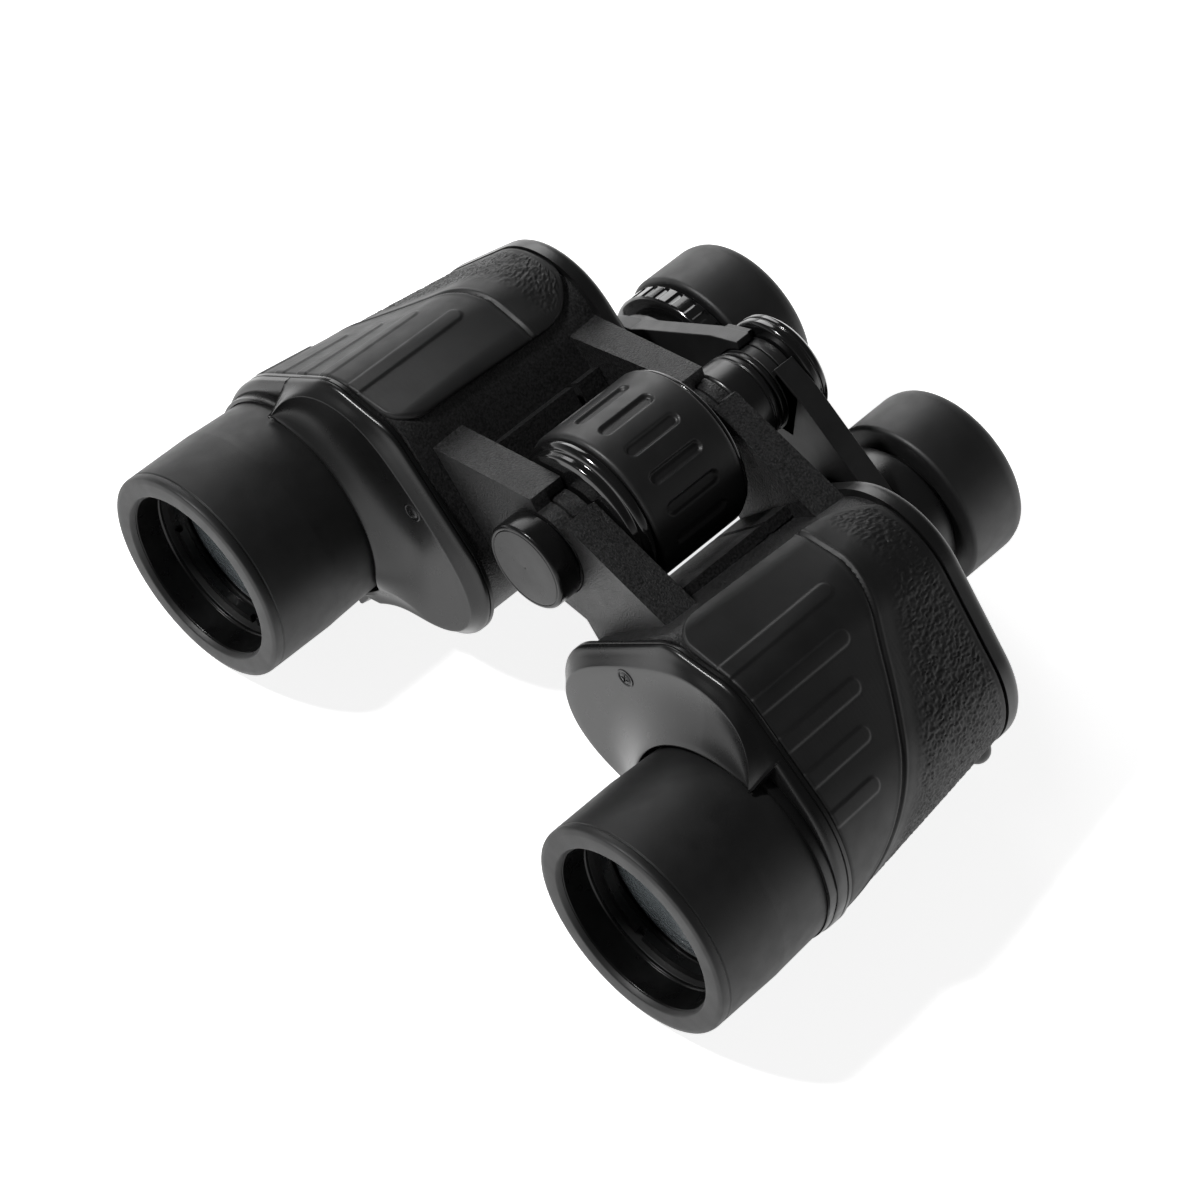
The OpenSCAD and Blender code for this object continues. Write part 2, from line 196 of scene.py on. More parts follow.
def finish_mesh(shape, name, material, body, slot, hides=(), mirror=False, sharp=35, bevel=0):
    """Makes the Blender object of a shape, in the row frame, and lets it ride on a body."""
    points = np.vstack(shape.points) * MM
    if mirror:
        points[:, 0] *= -1
    points[:, 1] += RIM_Y
    points[:, 2] += HINGE_Z
    mesh = bpy.data.meshes.new(name)
    mesh.from_pydata(points.tolist(), [], shape.faces)
    mesh.validate()
    work = bmesh.new()
    work.from_mesh(mesh)
    bmesh.ops.remove_doubles(work, verts=work.verts, dist=WELD * MM)
    bmesh.ops.recalc_face_normals(work, faces=work.faces)
    work.to_mesh(mesh)
    work.free()
    mesh.shade_smooth()
    mesh.set_sharp_from_angle(angle=math.radians(sharp))
    mesh.materials.append(material)
    piece = bpy.data.objects.new(name, mesh)
    bpy.context.scene.collection.objects.link(piece)
    if bevel:
        soften = piece.modifiers.new("edges", "BEVEL")
        soften.width = bevel * MM
        soften.segments = 3
        soften.limit_method = "ANGLE"
        soften.angle_limit = BEVEL_ANGLE
        soften.harden_normals = True
    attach(piece, body)
    if hides:
        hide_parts(*hides)


def both_halves(shape, name, material, slot, node, **more):
    """The same piece on the left half and, mirrored, on the right half."""
    for side in ("left", "right"):
        finish_mesh(
            shape, f"{side}_{name}", material, f"{side}_half", slot,
            hides=[f"{side}_{node}"], mirror=side == "right", **more,
        )


def smooth_step(x, low, high):
    """0 below low, 1 above high, and a smooth S between them."""
    t = np.clip((np.asarray(x, float) - low) / (high - low), 0, 1)
    return t * t * (3 - 2 * t)


# ---- Materials -----------------------------------------------------------

# The span that a noise texture's values mostly fill
NOISE_LOW, NOISE_HIGH = 0.3, 0.7

# Noise scales of a finish, in cycles per metre: uneven tone, and wiped patches
CLOUDS = 90
WIPES = 260


class Look:
    """A node material built round one Principled shader."""

    def __init__(self, name, colour, roughness, **sockets):
        self.material = bpy.data.materials.new(name)
        self.material.use_nodes = True
        self.tree = self.material.node_tree
        self.shader = self.tree.nodes["Principled BSDF"]
        self.shader.inputs["Base Color"].default_value = (*colour, 1)
        self.shader.inputs["Roughness"].default_value = roughness
        for socket, value in sockets.items():
            self.shader.inputs[socket.replace("_", " ")].default_value = value
        self.where = self.tree.nodes.new("ShaderNodeTexCoord").outputs["Object"]

    def noise(self, scale, detail):
        """A 0 to 1 noise value over the piece."""
        node = self.tree.nodes.new("ShaderNodeTexNoise")
        node.inputs["Scale"].default_value = scale
        node.inputs["Detail"].default_value = detail
        self.tree.links.new(self.where, node.inputs["Vector"])
        return node.outputs["Fac"]

    def tint(self, value, dark, light):
        """Base colour varies between two colours with a 0 to 1 value."""
        ramp = self.tree.nodes.new("ShaderNodeValToRGB")
        ramp.color_ramp.elements[0].color = (*dark, 1)
        ramp.color_ramp.elements[1].color = (*light, 1)
        ramp.color_ramp.elements[0].position = NOISE_LOW
        ramp.color_ramp.elements[1].position = NOISE_HIGH
        self.tree.links.new(value, ramp.inputs["Fac"])
        self.tree.links.new(ramp.outputs["Color"], self.shader.inputs["Base Color"])

    def polish(self, value, low, high):
        """Roughness varies between low and high with a 0 to 1 value."""
        node = self.tree.nodes.new("ShaderNodeMapRange")
        limits = {"From Min": NOISE_LOW, "From Max": NOISE_HIGH, "To Min": low, "To Max": high}
        for socket, number in limits.items():
            node.inputs[socket].default_value = number
        self.tree.links.new(value, node.inputs["Value"])
        self.tree.links.new(node.outputs["Result"], self.shader.inputs["Roughness"])

    def bump(self, value, depth):
        """Relief finer than the mesh, with a depth in millimetres."""
        node = self.tree.nodes.new("ShaderNodeBump")
        node.inputs["Distance"].default_value = depth * MM
        self.tree.links.new(value, node.inputs["Height"])
        self.tree.links.new(node.outputs["Normal"], self.shader.inputs["Normal"])


def grey(level):
    """A very slightly bluish grey."""
    return (level, level, level * 1.02)


def coated(name, level, rough, grain_scale, grain_depth, swing=0.06, fleck=0, **sockets):
    """A moulded or painted surface: uneven tone and polish, and a fine grain.

    level is the tone, rough the roughness and swing how far it varies, grain_scale is in
    cycles per metre, grain_depth in millimetres, and fleck is the scale of a paint's flecks.
    """
    look = Look(name, grey(level), rough, **sockets)
    if fleck:
        look.tint(look.noise(fleck, 1), grey(level * 0.2), grey(level * 2.6))
    else:
        look.tint(look.noise(CLOUDS, 3), grey(level * 0.8), grey(level * 1.25))
    look.polish(look.noise(WIPES, 4), rough - swing, rough + swing)
    look.bump(look.noise(grain_scale, 2), grain_depth)
    return look


HOUSING = coated("powder_coat", 0.011, 0.42, 2300, 0.22, 0.05, fleck=1900, Specular_IOR_Level=0.42)
FRONT_COVER = coated("front_cover_satin", 0.005, 0.28, 5200, 0.006, 0.01, Specular_IOR_Level=0.40)
REAR_COVER = coated("rear_cover_satin", 0.007, 0.34, 5200, 0.008, 0.015)
ARMOUR = coated("armour_rubber", 0.008, 0.50, 4200, 0.014, 0.04, Specular_IOR_Level=0.36)
BARREL = coated("barrel_matte", 0.008, 0.50, 4200, 0.02, 0.04, Specular_IOR_Level=0.38)
INNER = coated("inner_black", 0.002, 0.30, 3000, 0.01, 0.05, Specular_IOR_Level=0.25)
SCREW = coated("blackened_steel", 0.03, 0.34, 5000, 0.01, 0.06, Metallic=0.85)
EYECUP = coated("eyecup_rubber", 0.010, 0.50, 4200, 0.014, 0.04)
BRIDGE = coated("bridge_satin", 0.012, 0.42, 2900, 0.02, 0.04)
TUBE = coated("tube_coat", 0.008, 0.30, 3600, 0.004, 0.03)
GLOSS = coated("wheel_gloss", 0.006, 0.13, 3000, 0.004, 0.03, Coat_Weight=0.4)
CAP = coated("cap_gloss", 0.006, 0.24, 4200, 0.008, 0.04, Specular_IOR_Level=0.26)
GRIP = coated("grip_rubber", 0.009, 0.46, 4600, 0.012, 0.04)
SHAFT = coated("shaft_steel", 0.32, 0.22, 5000, 0.006, 0.06, Metallic=1.0)
WASHER = coated("washer_bronze", 0.03, 0.40, 5000, 0.006, 0.06, Metallic=1.0)
PLATE = coated("plate_aluminium", 0.35, 0.36, 3000, 0.02, 0.06, Metallic=1.0)
SPRING = coated("spring_steel", 0.40, 0.25, 3600, 0.008, 0.05, Metallic=1.0)


GLASS_ROUGH = (0.012, 0.02)
GLASS_IOR = 1.52
SMEARS = 60


def glass(name, colour, clear, **sockets):
    """Polished glass, clear at 1 and a dark mirror at 0."""
    look = Look(name, colour, GLASS_ROUGH[1], Transmission_Weight=clear, IOR=GLASS_IOR, **sockets)
    look.polish(look.noise(SMEARS, 2), *GLASS_ROUGH)
    return look


# The lenses are dark inside, so they are drawn as coated glass that lets no light through; their grey base
# colour is a painted reflection, added to the coat's own rendered reflections
LENS = glass("coated_glass", (0.16, 0.18, 0.19), 0.0, Coat_Weight=1.0, Coat_Roughness=0.02, Coat_IOR=1.7)
PRISM = glass("prism_glass", (0.93, 0.97, 0.96), 1.0)

CAD_LOOKS = {
    "housing_coat": HOUSING, "front_cover_satin": FRONT_COVER, "rear_cover_satin": REAR_COVER,
    "armour_rubber": ARMOUR, "screw_steel": SCREW, "barrel_matte": BARREL, "inner_black": INNER,
    "coated_glass": LENS, "prism_glass": PRISM, "plate_aluminium": PLATE, "spring_steel": SPRING,
    "bridge_satin": BRIDGE, "tube_coat": TUBE, "wheel_gloss": GLOSS, "eyecup_rubber": EYECUP,
    "grip_rubber": GRIP, "shaft_steel": SHAFT, "washer_brass": WASHER, "cap_gloss": CAP,
}

for part in frame["record"]["subparts"]:
    mesh = frame["nodes"][part["node"]].data
    mesh.materials.clear()
    mesh.materials.append(CAD_LOOKS[part["material_slot"]].material)


# ---- The housing's section -----------------------------------------------

def part_way(y):
    """The four circles of the section at depth y."""
    t = (y - HOUSING_FRONT) / (HOUSING_REAR - HOUSING_FRONT)
    return FRONT_CIRCLES + (REAR_CIRCLES - FRONT_CIRCLES) * t


# The ways that an outline's tangent lines face, and how oblique a line still counts
FACING = np.linspace(0, FULL_TURN, 1440, endpoint=False)
GRAZING = 0.05


def reach(y, angles, centre=SECTION_CENTRE, grow=0.0, circles=None):
    """Distance from a centre to the outline at depth y, along each angle."""
    circles = part_way(y) if circles is None else circles
    normals = np.stack([np.cos(FACING), np.sin(FACING)], -1)
    support = (normals @ (circles[:, :2] - centre).T + circles[:, 2]).max(1) + grow
    lean = np.cos(FACING[None, :] - angles[:, None])
    return np.where(lean > GRAZING, support[None, :] / np.maximum(lean, GRAZING), np.inf).min(1)


def ring_at(y, angles, grow=0.0):
    """Points of the housing's outline at depth y, grown outwards."""
    r = reach(y, angles, grow=grow)
    x = SECTION_CENTRE[0] + r * np.cos(angles)
    z = SECTION_CENTRE[1] + r * np.sin(angles)
    return np.stack([x, np.full_like(r, y), z], -1)


# ---- Armour --------------------------------------------------------------

# The panel's edges on the inner flank and underneath, and its rounded corners
INNER_EDGE_X = 38.6
UNDER_EDGE_X = 25.5
FRONT_CORNER = 8.0
REAR_CORNER = 14.0
CORNER_RUN = 24.0
ARMOUR_END_GAP = 0.08
ARMOUR_ROWS = 180
ARMOUR_COLUMNS = 500
ARMOUR_SINK = 0.12
ARMOUR_CLEARANCE = 0.1
EDGE_ROUND = 0.9
EDGE_DROP = 0.75
REAR_BEAD = (0.16, 1.0, 0.5)

# Ribs: places along the section from its top, and where each ends at the rear
RIB_RISE = 0.30
RIB_WIDTH = 3.7
RIB_PLACES = [4.6, 14.6, 24.2, 33.3, 43.0]
RIB_ENDS = [71.0, 66.6, 62.6, 58.3, 53.8]

# The S-shaped groove behind the ribs, with a ridge on each side: [height, place, half width]
OGEE_BACK = 78.2
OGEE_START = -2.0
OGEE_SPAN = 78.0
OGEE_DROP = 38.5
OGEE_POWER = 1.9
OGEE_DIP = 2.2
OGEE_DIP_RUN = 24.0
OGEE_SLANT = 0.86
OGEE_LINES = [(-0.42, -0.1, 0.33), (0.16, 0.75, 0.38), (0.10, -0.95, 0.4)]
BAND_START = 1.2
BAND_WIDTH = 4.6
BAND_SINK = 0.22

# The pebbled panel's pattern, its depth, and the share of it that wear has left
PEBBLE_SCALE = 1.5
PEBBLE_WARP = 1.2
PEBBLE_CONTRAST = 2.2
PEBBLE_DEPTH = 0.27
PEBBLE_WORN = 0.62
PEBBLE_SEED = 7
noise.seed_set(PEBBLE_SEED)


def ogee_depth(s):
    """Where the groove between the ribbed panel and the pebbled one lies, along the section."""
    fall = np.clip(s - OGEE_START, 0, None) / OGEE_SPAN
    return OGEE_BACK - OGEE_DROP * fall ** OGEE_POWER - OGEE_DIP * smooth_step(s, 0, OGEE_DIP_RUN)


def wormy(p):
    """Height of the moulded pebble pattern at a point, about -1 to 1."""
    place = Vector(p)
    warped = place * PEBBLE_SCALE + noise.noise_vector(place) * PEBBLE_WARP
    return noise.noise(warped) + 0.4 * noise.noise(warped * 2.1)


def ridge(away, half_width):
    """A bell-shaped ridge, 1 high, at a distance from its middle line."""
    return np.exp(-(away / half_width) ** 2)


def rib_distance(s, y, place, end):
    """Distance from a rib's centre line, which ends in a half circle."""
    beyond = np.clip(y - (end - RIB_WIDTH / 2), 0, None)
    return np.hypot(s - place, beyond)


def corner_inset(depth, radius):
    """How far a rounded corner draws the edge in, at a depth from its end."""
    if depth >= radius:
        return 0.0
    return radius - math.sqrt(radius ** 2 - (radius - depth) ** 2)


def armour_base():
    """Points on the housing's skin under the armour, and their places along the section."""
    angles = np.linspace(math.radians(125), math.radians(-150), 1100)
    top = angles > math.radians(60)
    low = angles < math.radians(-60)
    rows = []
    places = []
    for y in np.linspace(HOUSING_FRONT + ARMOUR_END_GAP, HOUSING_REAR - ARMOUR_END_GAP, ARMOUR_ROWS):
        flat = ring_at(y, angles)[:, [0, 2]]
        step = np.linalg.norm(np.diff(flat, axis=0), axis=1)
        along = np.concatenate([[0], np.cumsum(step)])
        along -= np.interp(-math.pi / 2, -angles, along)
        start = np.interp(INNER_EDGE_X, flat[top][:, 0], along[top])
        stop = np.interp(-UNDER_EDGE_X, -flat[low][:, 0], along[low])
        place = np.linspace(start, stop, ARMOUR_COLUMNS)
        inset = corner_inset(y - HOUSING_FRONT, FRONT_CORNER) + corner_inset(HOUSING_REAR - y, REAR_CORNER)
        place = place + inset * (1 - smooth_step(place - start, 0, CORNER_RUN))
        x = np.interp(place, along, flat[:, 0])
        z = np.interp(place, along, flat[:, 1])
        rows.append(np.stack([x, np.full_like(x, y), z], -1))
        places.append(place)
    return np.array(rows), np.array(places)


def armour_normals(base):
    """Outward directions of a grid of points on the skin."""
    normal = np.cross(np.gradient(base, axis=0), np.gradient(base, axis=1))
    normal /= np.linalg.norm(normal, axis=2, keepdims=True)
    outward = base[:, :, [0, 2]] - SECTION_CENTRE
    if (normal[:, :, 0] * outward[:, :, 0] + normal[:, :, 2] * outward[:, :, 1]).mean() < 0:
        normal = -normal
    return normal


def armour_relief(base, places):
    """Height of the armour's surface: ribs, ogee groove, pebbles, and rounded edges."""
    y = base[:, :, 1]
    rise = np.full(y.shape, -ARMOUR_SINK)
    for place, end in zip(RIB_PLACES, RIB_ENDS):
        away = rib_distance(places, y, place, end)
        rise += RIB_RISE * (1 - smooth_step(away, RIB_WIDTH / 2 - 0.3, RIB_WIDTH / 2 + 0.25))
    behind = (y - ogee_depth(places)) * OGEE_SLANT
    for height, place, half_width in OGEE_LINES:
        rise += height * ridge(behind - place, half_width)
    rise -= BAND_SINK * smooth_step(behind, BAND_START, BAND_WIDTH)
    rim = HOUSING_REAR - y
    side = np.minimum(np.abs(places - places[:, :1]), np.abs(places - places[:, -1:]))
    pebbled = smooth_step(behind, BAND_WIDTH - 1, BAND_WIDTH + 4)
    pebbled *= smooth_step(rim, 1.6, 2.6) * smooth_step(side, 1.0, 3.0)
    pebble = np.zeros(y.shape)
    for i, j in np.argwhere(pebbled > 0):
        pebble[i, j] = wormy(base[i, j])
    rise += PEBBLE_DEPTH * np.clip(pebble * PEBBLE_CONTRAST, -0.8, 1) * pebbled * PEBBLE_WORN
    height, place, half_width = REAR_BEAD
    rise += height * ridge(rim - place, half_width)
    edge = np.minimum(side, np.minimum(y - HOUSING_FRONT, rim))
    inside = np.clip(1 - edge / EDGE_ROUND, 0, 1)
    return rise - EDGE_DROP * (1 - np.sqrt(np.clip(1 - inside ** 2, 0, 1)))


def armour_shape():
    """The rubber skin, closed all round by its inner face and four edges."""
    base, places = armour_base()
    normal = armour_normals(base)
    outer = base + normal * armour_relief(base, places)[:, :, None]
    inner = base - normal * (ARMOUR_T - ARMOUR_CLEARANCE)
    shape = Shape()
    shape.grid(outer)
    shape.grid(inner[::-1])
    for end in (0, -1):
        shape.grid(np.array([outer[end], inner[end]]))
    for end in (0, -1):
        shape.grid(np.array([outer[:, end], inner[:, end]]))
    return shape


both_halves(armour_shape(), "armour_skin", ARMOUR.material, "armour_rubber", "armour", sharp=50)


# ---- Housings and their arms ---------------------------------------------

# The arms reach to the hinge, where each half owns one half of both knuckles
ARM_OUTLINE = [(5, 12.7), (46, 2.2), (46, -12), (30, -24), (21, -23), (12, -13), (5, -12.6)]
ARM_FRONT = (43.1, 52.1)
ARM_REAR = (88.4, 95.5)
ARM_ROOT = [(3, 10), (5, 12.7), (12, 10.9), (12, -13), (5, -12.6), (3, -10)]
KNUCKLE_R = 10.5
KNUCKLE_GAP = 0.3
POCKET_R = 10.8
SHAFT_R = 7.0
ARM_STEP = 2.5
SLANT_START = 12
SLANT = 2.2 / 36
CASTING_OVERLAP = 0.1

# The raised panels on the inner flank: their spans in depth, and their start near the arms
PANEL_SPANS = [(50.5, 79.0), (80.6, 87.2)]
PANEL_FOOT = np.array([28.9, 0.2])
PANEL_OUT = np.array([-0.745, 0.667])
PANEL_DOWN = np.array([-0.667, -0.745])
PANEL_RISE = 1.3
PANEL_ROOT = 1.5
PANEL_LIP = 0.8


def rear_slant(x):
    """Front of the rear arms, which get thicker away from the hinge."""
    return ARM_REAR[0] - max(0.0, x - SLANT_START) * SLANT


def flank_panel(shape):
    """A raised panel on the inner flank whose top edge stands out, and a smaller one behind it."""
    lobe = FRONT_CIRCLES[0]
    flank_r = lobe[2] - ARMOUR_T
    turns = np.radians(np.linspace(138, 182, 12))
    rises = PANEL_RISE - PANEL_ROOT * smooth_step(turns, turns[5], turns[-1])
    round_end = np.stack([np.cos(turns), np.sin(turns)], -1)
    outer_end = lobe[:2] + (flank_r + rises)[:, None] * round_end
    inner_end = lobe[:2] + (flank_r - PANEL_ROOT) * round_end[::-1]
    root = PANEL_FOOT - PANEL_OUT * PANEL_ROOT
    edge = PANEL_FOOT + PANEL_OUT * PANEL_RISE
    for front, rear in PANEL_SPANS:
        bar(shape, [root, edge, edge + PANEL_DOWN * PANEL_LIP, *outer_end, *inner_end], front, rear)


def fork_arm(shape, outline, front, rear):
    """An arm hollowed round the other half's knuckle. Its front is a depth or a function of x."""
    path = [np.array(outline[0], float)]
    for corner in outline[1:]:
        start = path[-1]
        way = np.array(corner) - start
        steps = max(1, int(np.linalg.norm(way) / ARM_STEP))
        path += [start + way * k / steps for k in range(1, steps + 1)]
    outer = np.array(path)
    turn = np.minimum.accumulate(np.arctan2(outer[:, 1], outer[:, 0]))
    inner = POCKET_R * np.stack([np.cos(turn), np.sin(turn)], -1)
    rows = []
    for ring, depth in ((inner, front), (outer, front), (outer, rear), (inner, rear)):
        y = np.array([depth(x) if callable(depth) else depth for x in ring[:, 0]])
        rows.append(np.stack([ring[:, 0], y, ring[:, 1]], -1))
    rows = np.array(rows)
    shape.grid(rows, close_rows=True)
    shape.face(rows[:, 0])
    shape.face(rows[::-1, -1])


def housing_shape(own_front):
    """A prism housing with two arms. It owns the front or the rear half of each knuckle."""
    shape = Shape()
    angles = np.linspace(0, FULL_TURN, 360, endpoint=False)
    depths = np.linspace(HOUSING_FRONT - CASTING_OVERLAP, HOUSING_REAR + CASTING_OVERLAP, 12)
    rings = [ring_at(y, angles, -ARMOUR_T) for y in depths]
    shape.grid(np.array(rings), close_columns=True)
    for ring in (rings[0], rings[-1]):
        shape.disc(ring, [SECTION_CENTRE[0], ring[0][1], SECTION_CENTRE[1]])
    for span, arm_front in ((ARM_FRONT, ARM_FRONT[0]), (ARM_REAR, rear_slant)):
        fork_arm(shape, ARM_OUTLINE, arm_front, span[1])
        half_way = (span[0] + span[1]) / 2
        front, rear = (span[0], half_way - KNUCKLE_GAP) if own_front else (half_way + KNUCKLE_GAP, span[1])
        bar(shape, ARM_ROOT, front, rear)
        plain_ring(shape, SHAFT_R, KNUCKLE_R, front, rear, count=96)
    flank_panel(shape)
    return shape


finish_mesh(
    housing_shape(False), "left_housing_casting", HOUSING.material, "left_half", "housing_coat",
    hides=["left_housing"], bevel=0.35,
)
finish_mesh(
    housing_shape(True), "right_housing_casting", HOUSING.material, "right_half", "housing_coat",
    hides=["right_housing"], mirror=True, bevel=0.35,
)


# ---- Front covers --------------------------------------------------------

# Angles in degrees round the objective. The ledge runs from its nose to the fin's tip,
# and the fin grows out of the ring before that.
HORN_ANGLE = 78.0
FIN_START = 212.0
FIN_ANGLE = 240.0
FIN_ROOT_R = 26.0
FIN_RISE = 5.0
FIN_END_FALL = 4.0
FIN_END_TURN = 2.0

# The ledge's lip: its depth, how far it falls back towards the fin, its bore, and its least outline
LIP_DEPTH = 29.2
LIP_FALL = 4.9
BORE_R = 26.3
RIM_R = 26.15
LIP_RISE = 0.85

# Radii of the ring that closes on the barrel where there is no ledge
RING_BORE_R = 25.6
RING_R = 25.78

# Depths of the ring's face and of the shoulder's rear end, and the groove behind: [inset, depth]
RING_FACE = 34.4
SHOULDER_REAR = 37.1
COVER_GROOVE = [(0.3, 37.25), (0.3, 37.5), (0, 37.65), (0, HOUSING_FRONT - 0.25), (0.5, HOUSING_FRONT)]
COVER_CIRCLES = np.array([[31, -24.7, 19.3], [45.3, -1.0, 11.4], [56, -2, 13.3], [64.3, -27, 28.5]])


def cover_reach(angles):
    """Outline of the front cover round the objective's axis, with the fin below."""
    r = reach(HOUSING_FRONT, angles, np.array(OBJECTIVE), circles=COVER_CIRCLES)
    turn = np.degrees(angles)
    growth = np.clip((turn - FIN_START) / (FIN_ANGLE - FIN_START), 0, 1) ** 1.5
    fin = np.where((turn > FIN_START) & (turn <= FIN_ANGLE), FIN_ROOT_R + FIN_RISE * growth, 0)
    fin_end = FIN_ROOT_R + FIN_RISE - FIN_END_FALL * smooth_step(turn, FIN_ANGLE, FIN_ANGLE + FIN_END_TURN)
    fin = np.where((turn > FIN_ANGLE) & (turn < FIN_ANGLE + FIN_END_TURN), fin_end, fin)
    lip_zone = smooth_step(turn, 68, HORN_ANGLE) * (1 - smooth_step(turn, FIN_ANGLE, FIN_ANGLE + 9))
    return np.maximum(np.maximum(r, fin), RIM_R + LIP_RISE * lip_zone)


# The crease between the cover's face and its shoulder, [x, z, depth], from the ledge's nose to the fin
CREASE = [
    (71.3, -3.6, 28.9), (70.6, -0.8, 29.8), (68.6, 3.0, 31.3), (64.8, 6.3, 32.7), (60.0, 8.2, 33.5),
    (54.0, 8.9, 33.9), (47.5, 7.9, 34.0), (41.0, 4.6, 34.0), (34.5, -0.5, 34.0), (26.9, -7.0, 34.0),
    (19.4, -14.3, 34.0), (15.4, -20.5, 34.0), (13.9, -26.5, 34.0), (15.8, -33.2, 34.0),
    (20.5, -38.4, 34.0), (27.5, -41.6, 34.0), (36.0, -43.4, 34.1), (43.5, -48.4, 34.3),
    (49.8, -54.6, 34.4),
]
CREASE_STEPS = 400
CREASE_SMOOTHING = 45

# Angles of the cover's sections round the objective, closest at the two ends of the ledge
COVER_TURNS = np.concatenate([
    np.arange(-117.9, 76, 0.9), np.arange(76, 82, 0.25),
    np.arange(82, 232, 0.7), np.arange(232, 242.1, 0.25),
])

# Shares along a section's face, along its flat part, and where the shoulder's chamfer ends
FACE_STEPS = np.linspace(0.08, 1, 12)
FACE_RUN = 13.0
FACE_POWER = 2.3
FLAT_STEPS = (0.35, 0.7, 1.0)
CHAMFER_END = np.array([0.74, 0.66])
RING_LIP = 32.2
RING_ROUND = 1.5


def crease_at(turn, outline):
    """Radius and depth of the crease between the face and the shoulder."""
    points = np.array(CREASE, float)
    steps = np.linspace(0, len(points) - 1, CREASE_STEPS)
    line = np.stack([np.interp(steps, range(len(points)), points[:, k]) for k in range(3)], -1)
    window = np.hanning(CREASE_SMOOTHING)
    window /= window.sum()
    half = CREASE_SMOOTHING // 2
    before = 2 * line[0] - line[half:0:-1]
    after = 2 * line[-1] - line[-2:-half - 2:-1]
    padded = np.vstack([before, line, after])
    line = np.stack([np.convolve(padded[:, k], window, "valid") for k in range(3)], -1)
    dx = line[:, 0] - OBJECTIVE[0]
    dz = line[:, 1] - OBJECTIVE[1]
    at = np.mod(np.degrees(np.arctan2(dz, dx)), 360)
    order = np.argsort(at)
    radius = np.interp(turn, at[order], np.hypot(dx, dz)[order])
    depth = np.interp(turn, at[order], line[order, 2])
    return np.minimum(radius, outline - 0.6), depth


def ledge_profile(out, crease_r, crease_y, lip_y):
    """Section through the ledge: bore, lip, hollowed face, crease, and chamfered shoulder."""
    points = [(BORE_R, HOUSING_FRONT - 0.2), (BORE_R, lip_y + 0.7), (BORE_R + 0.1, lip_y + 0.2)]
    run_out = max(crease_r - 0.3, BORE_R + 0.5)
    lip_r = min(BORE_R + 0.7, run_out - 0.05)
    points += [(BORE_R + 0.35, lip_y), (lip_r, lip_y + 0.12)]
    foot = min(run_out - lip_r, FACE_RUN)
    for t in FACE_STEPS:
        points.append((lip_r + foot * t, lip_y + (crease_y - lip_y) * (1 - (1 - t) ** FACE_POWER)))
    points += [(lip_r + foot + (run_out - lip_r - foot) * t, crease_y) for t in FLAT_STEPS]
    start = np.array([crease_r + 0.15, crease_y + 0.16])
    rim = np.array([out, SHOULDER_REAR])
    chamfer = start + CHAMFER_END * (rim - start)
    corner = np.array([out, chamfer[1] + 0.3 * (SHOULDER_REAR - chamfer[1])])
    points += [(crease_r, crease_y + 0.04), tuple(start)]
    points += [tuple(start + (chamfer - start) * t) for t in (0.33, 0.66, 1.0)]
    points += [tuple(bend(chamfer, corner, rim, t)) for t in (0.35, 0.7)]
    return points


def ring_profile(out):
    """Section where the cover is only a ring round the barrel, with as many points as the ledge's."""
    ring_r = max(RING_R, min(BORE_R + 0.15, out - 0.45))
    points = [
        (RING_BORE_R, HOUSING_FRONT - 0.2), (RING_BORE_R, RING_LIP + 0.7),
        (RING_BORE_R + 0.04, RING_LIP + 0.2), (RING_BORE_R + 0.12, RING_LIP), (ring_r, RING_LIP + 0.1),
    ]
    groove_r = ring_r + 0.05
    points += [(groove_r, RING_LIP + 0.3 + 2.0 * t) for t in FACE_STEPS]
    front_r = min(groove_r + 0.35, out - 0.25)
    points += [(groove_r + (front_r - groove_r) * t, RING_FACE + 0.1 * (1 - t)) for t in FLAT_STEPS]
    for t in (0.15, 0.32, 0.5, 0.68, 0.84, 0.95, 1.0):
        r = front_r + (out - front_r) * math.sin(t * math.pi / 2)
        points.append((r, RING_FACE + RING_ROUND * (1 - math.cos(t * math.pi / 2))))
    return points


def front_cover_shape():
    """The front cover, as sections all round the objective's axis."""
    angles = np.radians(COVER_TURNS)
    outline = cover_reach(np.mod(angles, FULL_TURN))
    crease_r, crease_y = crease_at(COVER_TURNS, outline)
    lip_y = LIP_DEPTH + LIP_FALL * smooth_step(COVER_TURNS, 182, 222)
    profiles = []
    for turn, out, *crease in zip(COVER_TURNS, outline, crease_r, crease_y, lip_y):
        points = ledge_profile(out, *crease) if HORN_ANGLE <= turn <= FIN_ANGLE else ring_profile(out)
        points.append((out, SHOULDER_REAR))
        points += [(out - inset, y) for inset, y in COVER_GROOVE]
        profiles.append(points)
    profiles = np.array(profiles)
    r, y = profiles[:, :, 0], profiles[:, :, 1]
    x = OBJECTIVE[0] + r * np.cos(angles)[:, None]
    z = OBJECTIVE[1] + r * np.sin(angles)[:, None]
    shape = Shape()
    shape.grid(np.stack([x, y, z], -1), close_rows=True, close_columns=True)
    return shape


both_halves(
    front_cover_shape(), "front_cover_casting", FRONT_COVER.material, "front_cover_satin", "front_cover",
    sharp=60,
)


# ---- Cover screws --------------------------------------------------------

# Heads and their cross recesses, and the groove's rim: [radius, height over the cover]
SCREW_HEAD_R = 1.5
SCREW_DOME = 0.28
CROSS_HALF_WIDTH = 0.24
CROSS_DEPTH = 0.45
CROSS_REACH = 1.0
HEAD_RINGS = (1.5, 1.45, 1.35, 1.2, 1.05, 0.95, 0.8, 0.6, 0.45, 0.33, 0.2, AXIS_R)
GROOVE_RIM = [(1.8, -0.2), (1.8, 0.1), (1.95, 0.2), (2.15, 0.2), (2.4, -0.02), (2.4, -0.2)]
FRONT_SCREWS = [(31.9, -6.5), (38, -38)]
REAR_SCREWS = [(58, 0), (70, -38)]


